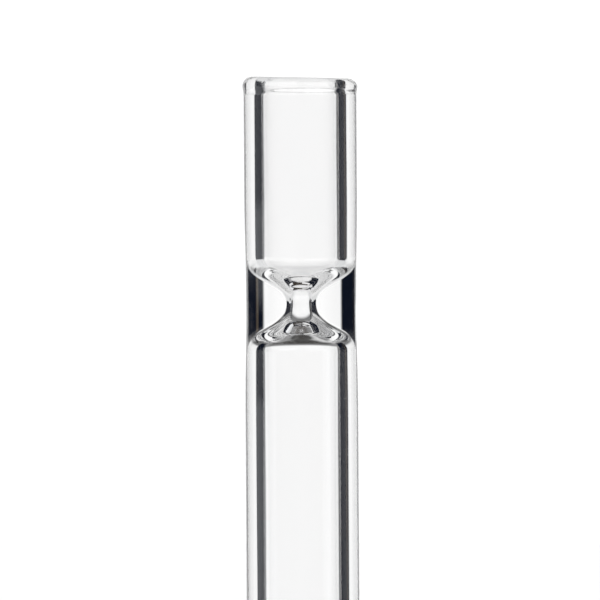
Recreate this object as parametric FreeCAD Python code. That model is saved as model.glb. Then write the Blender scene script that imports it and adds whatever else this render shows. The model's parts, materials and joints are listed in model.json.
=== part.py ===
import FreeCAD, Part
import math
import os

# A straight, heavy-wall glass tube with an hourglass constriction inside it. It is one run of
# lamp-worked glass: each zone below is its own solid, and neighbours meet face to face at a
# flame-fused seam. Millimetres. +Z points up the bore, and the origin is the middle of the foot.

# Tubing
TUBE_OD = 16.0
WALL = 2.5
LENGTH = 83.0

# Constriction. From the throat the bore opens along a convex neck, a straight cone and a hollow.
THROAT_BORE = 3.0
THROAT_HEIGHT = 50.9
UPPER_NECK_RADIUS = 3.0
UPPER_HOLLOW_RADIUS = 4.0
UPPER_SLOPE = 39.0          # funnel floor, degrees from level
LOWER_NECK_RADIUS = 4.0
LOWER_HOLLOW_RADIUS = 3.6
LOWER_SLOPE = 39.0          # flare roof, degrees from level

# Outside of the constriction, where the softened wall draws in a little
WAIST_DEPTH = 0.19
WAIST_HALF_LENGTH = 16.0

# Fire-polished ends
MOUTH_LIP_HEIGHT = 2.7
LIP_BEAD = 0.15             # how far the mouth lip swells past each face of the wall
FOOT_LIP_HEIGHT = 2.0
FOOT_FLAT_WIDTH = 0.7       # flat ring that the tube stands on

OUTER_RADIUS = TUBE_OD / 2
BORE_RADIUS = OUTER_RADIUS - WALL
WALL_MIDDLE = OUTER_RADIUS - WALL / 2
THROAT_RADIUS = THROAT_BORE / 2
ABOVE, BELOW = 1, -1        # which way from the throat


def at(radius, height):
    return FreeCAD.Vector(radius, 0, height)


def curve(points):
    return Part.Arc(*points).toShape()


def bow(centre, arc_radius, start_deg, end_deg):
    """Three points along a circular arc. Angles are measured up from straight outwards."""
    angles = [math.radians(turn) for turn in (start_deg, (start_deg + end_deg) / 2, end_deg)]
    return [centre + at(arc_radius * math.cos(a), arc_radius * math.sin(a)) for a in angles]


def swell(start, end):
    """Smooth step between two points, upright at both."""
    middle = (start.z + end.z) / 2
    bend = Part.BezierCurve()
    bend.setPoles([start, at(start.x, middle), at(end.x, middle), end])
    return bend.toShape()


def turned(edges):
    """Solid of revolution about the tube's axis, from a closed outline in the radial plane."""
    outline = Part.Wire(Part.__sortEdges__(edges))
    return Part.Face(outline).revolve(at(0, 0), at(0, 1), 360)


def outer_radius(height):
    """Radius of the outside, which draws in smoothly by WAIST_DEPTH at the throat."""
    away = min(abs(height - THROAT_HEIGHT) / WAIST_HALF_LENGTH, 1)
    drawn_in = 1 - 2 * away ** 2 if away < 0.5 else 2 * (1 - away) ** 2
    return OUTER_RADIUS - WAIST_DEPTH * drawn_in


def outside(low, high):
    """Edges of the outside between two heights, parted where the waist's bends meet."""
    bends = [THROAT_HEIGHT + share * WAIST_HALF_LENGTH for share in (-1, -0.5, 0.5, 1)]
    heights = [low] + [bend for bend in bends if low < bend < high] + [high]
    edges = []
    for start, end in zip(heights, heights[1:]):
        middle = (start + end) / 2
        points = [at(outer_radius(height), height) for height in (start, middle, end)]
        straight = abs(middle - THROAT_HEIGHT) > WAIST_HALF_LENGTH
        edges.append(Part.makeLine(points[0], points[2]) if straight else curve(points))
    return edges


def zone(bottom, top, bore_edges):
    """Zone of the tube between two level seams, whose bore runs from bottom to top."""
    seams = [Part.makeLine(end, at(outer_radius(end.z), end.z)) for end in (bottom, top)]
    return turned(outside(bottom.z, top.z) + bore_edges + seams)


def bore_neck(neck_radius, slope, way):
    """Points of the convex arc from the throat to the start of the cone."""
    centre = at(THROAT_RADIUS + neck_radius, THROAT_HEIGHT)
    return bow(centre, neck_radius, 180, 180 - way * (90 - slope))


def bore_hollow(neck, hollow_radius, slope, way):
    """Points of the hollow arc from the end of the cone to the full bore."""
    turn = math.radians(90 - slope)
    start_radius = BORE_RADIUS - hollow_radius * (1 - math.cos(turn))
    cone_rise = (start_radius - neck[2].x) * math.tan(math.radians(slope))
    hollow_rise = hollow_radius * math.sin(turn)
    centre = at(BORE_RADIUS - hollow_radius, neck[2].z + way * (cone_rise + hollow_rise))
    return bow(centre, hollow_radius, -way * (90 - slope), 0)


UPPER_NECK = bore_neck(UPPER_NECK_RADIUS, UPPER_SLOPE, ABOVE)
UPPER_HOLLOW = bore_hollow(UPPER_NECK, UPPER_HOLLOW_RADIUS, UPPER_SLOPE, ABOVE)
LOWER_NECK = bore_neck(LOWER_NECK_RADIUS, LOWER_SLOPE, BELOW)
LOWER_HOLLOW = bore_hollow(LOWER_NECK, LOWER_HOLLOW_RADIUS, LOWER_SLOPE, BELOW)


def mouth_lip():
    """Open top: the wall swells a little and rounds over."""
    seam = LENGTH - MOUTH_LIP_HEIGHT
    crown_radius = WALL / 2 + LIP_BEAD
    crown = bow(at(WALL_MIDDLE, LENGTH - crown_radius), crown_radius, 0, 180)
    outer_seam, inner_seam = at(OUTER_RADIUS, seam), at(BORE_RADIUS, seam)
    return turned([
        Part.makeLine(inner_seam, outer_seam),
        swell(outer_seam, crown[0]),
        curve(crown),
        swell(crown[2], inner_seam),
    ])


def upper_tube():
    bottom, top = UPPER_HOLLOW[2], at(BORE_RADIUS, LENGTH - MOUTH_LIP_HEIGHT)
    return zone(bottom, top, [Part.makeLine(bottom, top)])


def upper_shoulder():
    """Thickened glass whose bore makes the funnel floor of the upper chamber."""
    cone = Part.makeLine(UPPER_NECK[2], UPPER_HOLLOW[0])
    return zone(UPPER_NECK[2], UPPER_HOLLOW[2], [cone, curve(UPPER_HOLLOW)])


def throat_collar():
    """Nearly solid glass around the narrowest bore."""
    return zone(LOWER_NECK[2], UPPER_NECK[2], [curve(LOWER_NECK), curve(UPPER_NECK)])


def lower_shoulder():
    """Thickened glass whose bore flares into the roof of the lower chamber."""
    cone = Part.makeLine(LOWER_NECK[2], LOWER_HOLLOW[0])
    return zone(LOWER_HOLLOW[2], LOWER_NECK[2], [cone, curve(LOWER_HOLLOW)])


def lower_tube():
    bottom, top = at(BORE_RADIUS, FOOT_LIP_HEIGHT), LOWER_HOLLOW[2]
    return zone(bottom, top, [Part.makeLine(bottom, top)])


def foot_lip():
    """Open lower end, with rounded corners each side of a narrow flat ring."""
    corner = (WALL - FOOT_FLAT_WIDTH) / 2
    inner_corner = bow(at(BORE_RADIUS + corner, corner), corner, 180, 270)
    outer_corner = bow(at(OUTER_RADIUS - corner, corner), corner, 270, 360)
    inner_seam, outer_seam = at(BORE_RADIUS, FOOT_LIP_HEIGHT), at(OUTER_RADIUS, FOOT_LIP_HEIGHT)
    return turned([
        Part.makeLine(inner_seam, inner_corner[0]),
        curve(inner_corner),
        Part.makeLine(inner_corner[2], outer_corner[0]),
        curve(outer_corner),
        Part.makeLine(outer_corner[2], outer_seam),
        Part.makeLine(outer_seam, inner_seam),
    ])


ZONES = [mouth_lip, upper_tube, upper_shoulder, throat_collar, lower_shoulder, lower_tube, foot_lip]

os.makedirs("parts", exist_ok=True)
for make_zone in ZONES:
    make_zone().exportStep(f"parts/{make_zone.__name__}.step")
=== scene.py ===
import json
import math

import bpy
import numpy as np
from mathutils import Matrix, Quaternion, Vector


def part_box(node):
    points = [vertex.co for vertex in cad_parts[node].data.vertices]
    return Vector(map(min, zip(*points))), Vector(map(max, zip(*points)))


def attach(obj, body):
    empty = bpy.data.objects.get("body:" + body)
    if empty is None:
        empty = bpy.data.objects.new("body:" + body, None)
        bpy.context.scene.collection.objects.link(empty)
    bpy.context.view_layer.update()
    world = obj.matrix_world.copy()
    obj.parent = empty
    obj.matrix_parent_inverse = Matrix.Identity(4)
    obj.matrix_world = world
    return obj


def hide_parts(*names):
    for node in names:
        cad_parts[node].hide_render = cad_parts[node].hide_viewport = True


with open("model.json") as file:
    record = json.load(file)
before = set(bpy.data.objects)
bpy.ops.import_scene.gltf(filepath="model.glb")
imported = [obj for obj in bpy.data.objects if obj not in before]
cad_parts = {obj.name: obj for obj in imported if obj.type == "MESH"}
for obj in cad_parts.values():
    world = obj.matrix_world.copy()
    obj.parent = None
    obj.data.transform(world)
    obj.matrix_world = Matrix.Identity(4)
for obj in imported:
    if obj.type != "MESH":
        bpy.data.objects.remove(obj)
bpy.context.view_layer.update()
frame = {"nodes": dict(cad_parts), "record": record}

# Metres and degrees. The tube stands on its foot with its axis on Z.

MM = 0.001
AROUND = 224                # segments round the tube
TURN_STEP = 2.5             # degrees of an arc between two rings
WALL_STEP = 0.8 * MM        # height between two rings on a straight wall
SWELL_STEPS = 12            # rings from a wall out to the lip's crown
SEAM_TOLERANCE = 0.01 * MM      # a CAD point this near a seam's height lies on the seam
FLAT_TOLERANCE = 0.001 * MM     # and this near the ground, on the foot's flat ring

WAIST_HALF_LENGTH = 16 * MM
RIM_DROP = 0.4 * MM         # the fire-polished rim is out of square, lower on the right

GLASS_IOR = 1.474
SCUFF_SIZE = (1.5 * MM, 0.1 * MM)       # across and along the tube
SCUFF_EDGE = 0.08                       # how far the noise rises from clear glass to a scuff
DUST_SIZE = (0.2 * MM, 0.2 * MM)
DUST_LEVEL = 0.82                       # noise level that dust starts at
DUST_EDGE = 0.06
MARK_ROUGHNESS = 0.14                   # of scuffs and dust
MARK_HEIGHT = 0.002 * MM

CAMERA_DISTANCE = 1500 * MM
CAMERA_PITCH = 1.1          # looking down
CAMERA_ROLL = 0.35
CAMERA_ASIDE = -0.17 * MM
LOOK_BELOW_TOP = 31.7 * MM
LENS = 636.3

FLOOR_RADIUS = 400 * MM
FLOOR_SIDES = 96
BOUNCES = 128               # light is caught many times over in the thick glass of the throat


# ------------------------------------------------------------------ sizes from the frame

def mount_radius(name):
    return next(m for m in frame["record"]["mounts"] if m["name"] == name)["dims"]["r_mm"] * MM


def surface_points(node):
    """Radius and height of every point of a CAD node."""
    return [(math.hypot(v.co.x, v.co.y), v.co.z) for v in frame["nodes"][node].data.vertices]


def seam_radius(node, height):
    """Bore radius of a CAD node at a level seam."""
    return min(r for r, z in surface_points(node) if abs(z - height) < SEAM_TOLERANCE)


BORE_RADIUS = mount_radius("upper_bore")
OUTER_RADIUS = mount_radius("stem_outside")
WALL = OUTER_RADIUS - BORE_RADIUS
WALL_MIDDLE = OUTER_RADIUS - WALL / 2
THROAT_RADIUS, THROAT_HEIGHT = min(surface_points("throat_collar"))
WAIST_DEPTH = OUTER_RADIUS - min(r for r, z in surface_points("throat_collar") if r > WALL_MIDDLE)
LIP_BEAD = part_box("mouth_lip")[1].x - OUTER_RADIUS
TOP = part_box("mouth_lip")[1].z
LIP_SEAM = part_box("mouth_lip")[0].z
UPPER_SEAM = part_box("upper_tube")[0].z
UPPER_NECK_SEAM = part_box("throat_collar")[1].z
LOWER_NECK_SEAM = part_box("throat_collar")[0].z
LOWER_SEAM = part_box("lower_tube")[1].z
FOOT_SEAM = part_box("foot_lip")[1].z
FOOT_CORNER = min(r for r, z in surface_points("foot_lip") if z < FLAT_TOLERANCE) - BORE_RADIUS


# ------------------------------------------------------------------ outline, as (radius, height)

def arc(centre, radius, start, end):
    steps = math.ceil(abs(end - start) / TURN_STEP)
    angles = [math.radians(start + (end - start) * i / steps) for i in range(steps + 1)]
    return [(centre[0] + radius * math.cos(a), centre[1] + radius * math.sin(a)) for a in angles]


def outer_radius(height):
    away = min(abs(height - THROAT_HEIGHT) / WAIST_HALF_LENGTH, 1)
    drawn_in = 1 - 2 * away ** 2 if away < 0.5 else 2 * (1 - away) ** 2
    return OUTER_RADIUS - WAIST_DEPTH * drawn_in


def heights(start, end):
    steps = math.ceil(abs(end - start) / WALL_STEP)
    return [start + (end - start) * i / steps for i in range(steps + 1)]


def outside(start, end):
    return [(outer_radius(height), height) for height in heights(start, end)]


def bore_wall(start, end):
    return [(BORE_RADIUS, height) for height in heights(start, end)]


def swell(start, end):
    """Smooth step between two points, upright at both."""
    shares = [i / SWELL_STEPS for i in range(SWELL_STEPS + 1)]
    return [(start[0] + (end[0] - start[0]) * s * s * (3 - 2 * s),
             start[1] + (end[1] - start[1]) * s) for s in shares]


def join(*runs):
    """One run of points from several that share their end points."""
    points = list(runs[0])
    for run in runs[1:]:
        points += run[1:]
    return points


def opening(neck_seam, full_seam):
    """Neck arc, then cone and hollow, of the bore from the throat to a chamber."""
    way = 1 if full_seam > neck_seam else -1
    across = seam_radius("throat_collar", neck_seam) - THROAT_RADIUS
    along = abs(neck_seam - THROAT_HEIGHT)
    neck_radius = (across ** 2 + along ** 2) / (2 * across)
    turn = math.degrees(math.asin(along / neck_radius))
    neck = arc((THROAT_RADIUS + neck_radius, THROAT_HEIGHT), neck_radius, 180, 180 - way * turn)
    # the cone and the bore wall would meet at a corner, and the hollow rounds it off
    slope = math.radians(90 - turn)
    corner = neck_seam + way * (BORE_RADIUS - neck[-1][0]) * math.tan(slope)
    tangent = abs(full_seam - corner)
    hollow_radius = tangent / math.tan(math.radians(turn / 2))
    hollow = arc((BORE_RADIUS - hollow_radius, full_seam), hollow_radius, -way * turn, 0)
    return neck, [neck[-1]] + hollow


def lip():
    crown_radius = WALL / 2 + LIP_BEAD
    crown = arc((WALL_MIDDLE, TOP - crown_radius), crown_radius, 0, 180)
    outer, inner = (OUTER_RADIUS, LIP_SEAM), (BORE_RADIUS, LIP_SEAM)
    return join(swell(outer, crown[0]), crown, swell(crown[-1], inner))


def foot():
    inner = arc((BORE_RADIUS + FOOT_CORNER, FOOT_CORNER), FOOT_CORNER, 180, 270)
    outer = arc((OUTER_RADIUS - FOOT_CORNER, FOOT_CORNER), FOOT_CORNER, 270, 360)
    top_inner, top_outer = (BORE_RADIUS, FOOT_SEAM), (OUTER_RADIUS, FOOT_SEAM)
    return join([top_inner, inner[0]], inner, [inner[-1], outer[0]], outer, [outer[-1], top_outer])


upper_neck, upper_funnel = opening(UPPER_NECK_SEAM, UPPER_SEAM)
lower_neck, lower_flare = opening(LOWER_NECK_SEAM, LOWER_SEAM)

# The whole outline, once round: up the outside, over the lip and down the bore
OUTLINE = [
    ("foot_lip", foot()),
    ("lower_tube", outside(FOOT_SEAM, LOWER_SEAM)),
    ("lower_shoulder", outside(LOWER_SEAM, LOWER_NECK_SEAM)),
    ("throat_collar", outside(LOWER_NECK_SEAM, UPPER_NECK_SEAM)),
    ("upper_shoulder", outside(UPPER_NECK_SEAM, UPPER_SEAM)),
    ("upper_tube", outside(UPPER_SEAM, LIP_SEAM)),
    ("mouth_lip", lip()),
    ("upper_tube", bore_wall(LIP_SEAM, UPPER_SEAM)),
    ("upper_shoulder", upper_funnel[::-1]),
    ("throat_collar", join(upper_neck[::-1], lower_neck)),
    ("lower_shoulder", lower_flare),
    ("lower_tube", bore_wall(LOWER_SEAM, FOOT_SEAM)),
]


# ------------------------------------------------------------------ glass pieces

def out_of_square(places):
    """Lowers the right side of the mouth's rim."""
    x, z = places[..., 0], places[..., 2]
    near_rim = np.clip((z - LIP_SEAM) / (TOP - LIP_SEAM), 0, 1)
    drop = RIM_DROP * near_rim ** 2 * (3 - 2 * near_rim)
    places[..., 2] -= drop * np.clip(1 + x / OUTER_RADIUS, 0, 2) / 2


def surface(points):
    """Points and outward normals of the whole glass surface, as (ring, segment, xyz) arrays."""
    outline = np.array(points)
    turns = np.linspace(0, 2 * math.pi, AROUND, endpoint=False)
    round_x, round_y = np.cos(turns), np.sin(turns)
    places = np.stack([np.outer(outline[:, 0], round_x), np.outer(outline[:, 0], round_y),
                       np.outer(outline[:, 1], np.ones(AROUND))], axis=-1)
    out_of_square(places)
    along = np.roll(places, -1, axis=0) - np.roll(places, 1, axis=0)
    across = np.roll(places, -1, axis=1) - np.roll(places, 1, axis=1)
    normals = np.cross(across, along)
    return places, normals / np.linalg.norm(normals, axis=-1, keepdims=True)


def glass_piece(node, runs, places, normals, materials):
    """Closed ring of glass from a zone's runs of rings. Level faces at its seams close it."""
    rings = [ring for run in runs for ring in run]
    wall_ends = set(np.cumsum([len(run) for run in runs]) - 1)
    faces, corner_normals, seams = [], [], []
    count = len(rings)
    for i in range(count):
        j = (i + 1) % count
        is_seam = i in wall_ends
        for k in range(AROUND):
            m = (k + 1) % AROUND
            faces.append((i * AROUND + k, i * AROUND + m, j * AROUND + m, j * AROUND + k))
            seams.append(is_seam)
    mesh = bpy.data.meshes.new(node)
    mesh.from_pydata(places[rings].reshape(-1, 3).tolist(), [], faces)
    mesh.polygons.foreach_set("use_smooth", [True] * len(faces))
    mesh.polygons.foreach_set("material_index", [int(s) for s in seams])
    wall_normals = normals[rings].reshape(-1, 3)
    for face, is_seam in zip(mesh.polygons, seams):
        for vertex in face.vertices:
            corner_normals.append(face.normal if is_seam else wall_normals[vertex])
    mesh.normals_split_custom_set(corner_normals)
    for material in materials:
        mesh.materials.append(material)
    piece = bpy.data.objects.new(f"{node}_glass", mesh)
    bpy.context.scene.collection.objects.link(piece)
    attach(piece, "root")
    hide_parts(node)
    return piece


class Graph:
    """Short names for the shader nodes that the studio light and the glass use."""

    def __init__(self, tree):
        self.tree = tree

    def node(self, kind, **settings):
        made = self.tree.nodes.new(kind)
        for name, value in settings.items():
            setattr(made, name, value)
        return made

    def put(self, socket, value):
        if isinstance(value, bpy.types.NodeSocket):
            self.tree.links.new(value, socket)
        else:
            socket.default_value = value

    def math(self, operation, *values):
        made = self.node("ShaderNodeMath", operation=operation)
        for socket, value in zip(made.inputs, values):
            self.put(socket, value)
        return made.outputs[0]

    def ramp(self, value, start, end):
        """0 up to start and 1 from end on, and the other way round if end is lower."""
        made = self.node("ShaderNodeMapRange", interpolation_type="SMOOTHSTEP")
        self.put(made.inputs["Value"], value)
        made.inputs["From Min"].default_value = min(start, end)
        made.inputs["From Max"].default_value = max(start, end)
        if start > end:
            made.inputs["To Min"].default_value, made.inputs["To Max"].default_value = 1, 0
        return made.outputs[0]

    def stretched_noise(self, across, along, detail=2):
        """Noise in object space, with its grain's size across and along the tube."""
        stretch = self.node("ShaderNodeMapping")
        self.put(stretch.inputs["Vector"], self.node("ShaderNodeTexCoord").outputs["Object"])
        stretch.inputs["Scale"].default_value = (1 / across, 1 / across, 1 / along)
        made = self.node("ShaderNodeTexNoise")
        self.put(made.inputs["Vector"], stretch.outputs[0])
        made.inputs["Scale"].default_value = 1
        made.inputs["Detail"].default_value = detail
        return made.outputs["Fac"]

    def mix(self, share, first, second):
        made = self.node("ShaderNodeMix", data_type="RGBA")
        self.put(made.inputs["Factor"], share)
        self.put(made.inputs["A"], first)
        self.put(made.inputs["B"], second)
        return made.outputs["Result"]


# For each slot, the size of its ripples across and along the tube, their depth, and the noise
# level that scuffs start at, which is higher where they are rarer
FINISHES = {
    "clear_glass": (1.6 * MM, 45 * MM, 0.010 * MM, 0.73),           # drawn tubing
    "worked_glass": (6 * MM, 5 * MM, 0.006 * MM, 0.74),             # pinched in the flame
    "fire_polished_glass": (2.6 * MM, 1.3 * MM, 0.016 * MM, 0.61),  # the lip and the foot
}


def clear_glass(name):
    """Clear glass with its maker's ripples, hairline scuffs and a little dust."""
    across, along, depth, scuff_level = FINISHES[name]
    material = bpy.data.materials.new(name)
    material.use_nodes = True
    g = Graph(material.node_tree)
    shader = g.tree.nodes["Principled BSDF"]
    shader.inputs["Base Color"].default_value = (1, 1, 1, 1)
    shader.inputs["Transmission Weight"].default_value = 1
    shader.inputs["IOR"].default_value = GLASS_IOR
    scuffs = g.ramp(g.stretched_noise(*SCUFF_SIZE), scuff_level, scuff_level + SCUFF_EDGE)
    dust = g.ramp(g.stretched_noise(*DUST_SIZE, detail=0), DUST_LEVEL, DUST_LEVEL + DUST_EDGE)
    marks = g.math("MAXIMUM", scuffs, dust)
    g.put(shader.inputs["Roughness"], g.math("MULTIPLY", marks, MARK_ROUGHNESS))
    ripples = g.node("ShaderNodeBump")
    ripples.inputs["Strength"].default_value = 1
    ripples.inputs["Distance"].default_value = depth
    g.put(ripples.inputs["Height"], g.stretched_noise(across, along))
    grain = g.node("ShaderNodeBump")
    grain.inputs["Strength"].default_value = 1
    grain.inputs["Distance"].default_value = MARK_HEIGHT
    g.put(grain.inputs["Height"], marks)
    g.put(grain.inputs["Normal"], ripples.outputs[0])
    g.put(shader.inputs["Normal"], grain.outputs[0])
    return material


def fused_seam():
    """Stands inside the glass where two zones are fused, and bends no light."""
    material = bpy.data.materials.new("fused_seam")
    material.use_nodes = True
    tree = material.node_tree
    tree.nodes.remove(tree.nodes["Principled BSDF"])
    clear = tree.nodes.new("ShaderNodeBsdfTransparent")
    tree.links.new(clear.outputs[0], tree.nodes["Material Output"].inputs["Surface"])
    return material


def make_glass():
    points, runs = [], {}
    for node, run in OUTLINE:
        start = len(points)
        points += run[:-1]
        runs.setdefault(node, []).append(list(range(start, start + len(run))))
    total = len(points)
    places, normals = surface(points)
    slots = {part["node"]: part["material_slot"] for part in frame["record"]["subparts"]}
    glasses = {slot: clear_glass(slot) for slot in sorted(set(slots.values()))}
    seam = fused_seam()
    for node, parts in runs.items():
        parts = [[ring % total for ring in part] for part in parts]
        piece = glass_piece(node, parts, places, normals, [glasses[slots[node]], seam])


make_glass()


# ------------------------------------------------------------------ studio

def make_camera():
    pitch = math.radians(CAMERA_PITCH)
    back = Vector((0, -math.cos(pitch), math.sin(pitch)))
    camera = bpy.data.objects.new("camera", bpy.data.cameras.new("camera"))
    camera.location = Vector((CAMERA_ASIDE, 0, TOP - LOOK_BELOW_TOP)) + back * CAMERA_DISTANCE
    camera.rotation_mode = "QUATERNION"
    roll = Quaternion((0, 0, 1), -math.radians(CAMERA_ROLL))
    camera.rotation_quaternion = (-back).to_track_quat("-Z", "Y") @ roll
    camera.data.lens = LENS
    camera.data.clip_start = 0.01
    bpy.context.scene.collection.objects.link(camera)
    bpy.context.scene.camera = camera


def grey(level):
    return (level, level, level, 1)


# The studio that the glass shows, the last over the first, in degrees of azimuth to the right of
# straight behind the tube and of elevation: (centre, half width, softness), (bottom, top,
# softness), colour
ROOM = (0.004, 0.006, 0.013, 1)
SURROUNDINGS = [
    ((0, 180, 0), (42, 90, 6), grey(0.25)),                         # ceiling
    ((-1.5, 32, 4), (24, 45, 8), grey(0.20)),                       # wall over the backdrop
    ((-2, 14, 4), (32, 44, 2), (0.03, 0.028, 0.025, 1)),            # beam that the backdrop hangs from
    ((44, 44, 5), (47, 72, 5), grey(0.70)),                         # soft light overhead
    ((-34, 8, 4), (45, 55, 4), grey(0.5)),                          # small light on its left
    ((141, 26, 5), (4, 60, 6), grey(0.90)),                         # window behind the camera, right
    ((-135, 45, 8), (8, 60, 8), (0.34, 0.34, 0.35, 1)),             # pale wall behind it, left
    ((180, 75, 6), (64, 90, 4), (0.07, 0.06, 0.05, 1)),             # dark ceiling over it
    ((180, 60, 4), (-90, -6, 3), grey(0.70)),                       # bench behind it
    ((-90, 18, 3), (-20, -1.1, 0.4), (0.92, 0.94, 0.96, 1)),        # white board to the left
    ((40, 2, 1), (-12, 30, 4), (0.08, 0.065, 0.05, 1)),             # post at the backdrop's side
    ((0, 180, 0), (-90, -9.5, 2.5), (0.74, 0.745, 0.75, 1)),        # white table
    ((0, 180, 0), (-90, -44, 5), grey(0.84)),                       # its part nearest the tube
    ((52, 16, 3), (-15, -5, 3), ROOM),                              # gap past the table, right
    ((-175, 69, 4), (-32, -4, 4), (0.05, 0.042, 0.035, 1)),         # camera and its stand
    ((-93, 14, 4), (-31, -18, 3), ROOM),                            # gap under the white board
    ((104, 13, 3), (-24, -4, 2), ROOM),                             # gap beside the camera
    ((135, 35, 3), (-21, -8, 2), grey(0.92)),                       # white board beside the camera
    ((0, 25, 8), (-35, 0, 9), grey(0.95)),                          # backdrop's sweep on the table
    ((-1.5, 32, 2), (-18, 23, 5), grey(1.0)),                       # white backdrop
    ((0, 19, 9), (-18, 21, 7), grey(1.07)),                         # its brightly lit middle
]
PLAIN = grey(1.12)          # what the camera and the floor see instead


def make_world():
    world = bpy.data.worlds.new("studio")
    bpy.context.scene.world = world
    world.use_nodes = True
    tree = world.node_tree
    tree.nodes.clear()
    g = Graph(tree)
    direction = g.node("ShaderNodeSeparateXYZ")
    g.put(direction.inputs[0], g.node("ShaderNodeTexCoord").outputs["Generated"])
    x, y, z = direction.outputs
    elevation = g.math("MULTIPLY", g.math("ARCSINE", z), 180 / math.pi)
    azimuth = g.math("MULTIPLY", g.math("ARCTAN2", x, y), 180 / math.pi)
    light = ROOM
    for (centre, half_width, side_softness), (bottom, top, softness), colour in SURROUNDINGS:
        share = 1
        if half_width < 180:
            turn = g.math("WRAP", g.math("SUBTRACT", azimuth, centre), 180, -180)
            share = g.ramp(g.math("ABSOLUTE", turn), half_width + side_softness,
                           half_width - side_softness)
        if bottom > -90:
            share = g.math("MULTIPLY", share, g.ramp(elevation, bottom - softness, bottom + softness))
        if top < 90:
            share = g.math("MULTIPLY", share, g.ramp(elevation, top + softness, top - softness))
        light = g.mix(share, light, colour)
    path = g.node("ShaderNodeLightPath")
    plain = g.math("MAXIMUM", path.outputs["Is Camera Ray"], path.outputs["Is Diffuse Ray"])
    background = g.node("ShaderNodeBackground")
    g.put(background.inputs["Color"], g.mix(plain, light, PLAIN))
    g.put(g.node("ShaderNodeOutputWorld").inputs["Surface"], background.outputs[0])


def make_floor():
    mesh = bpy.data.meshes.new("floor")
    turns = [2 * math.pi * i / FLOOR_SIDES for i in range(FLOOR_SIDES)]
    ring = [(FLOOR_RADIUS * math.cos(turn), FLOOR_RADIUS * math.sin(turn), 0) for turn in turns]
    mesh.from_pydata(ring, [], [tuple(range(FLOOR_SIDES))])
    material = bpy.data.materials.new("floor")
    material.use_nodes = True
    shader = material.node_tree.nodes["Principled BSDF"]
    shader.inputs["Base Color"].default_value = grey(0.95)
    shader.inputs["Roughness"].default_value = 0.8
    shader.inputs["Specular IOR Level"].default_value = 0
    mesh.materials.append(material)
    floor = bpy.data.objects.new("floor", mesh)
    bpy.context.scene.collection.objects.link(floor)
    floor.visible_transmission = False
    floor.visible_glossy = False


def set_light_paths():
    scene = bpy.context.scene
    scene.view_settings.view_transform = "Standard"
    scene.cycles.max_bounces = BOUNCES
    scene.cycles.transmission_bounces = BOUNCES
    scene.cycles.glossy_bounces = BOUNCES
    scene.cycles.transparent_max_bounces = BOUNCES


make_camera()
make_world()
make_floor()
set_light_paths()
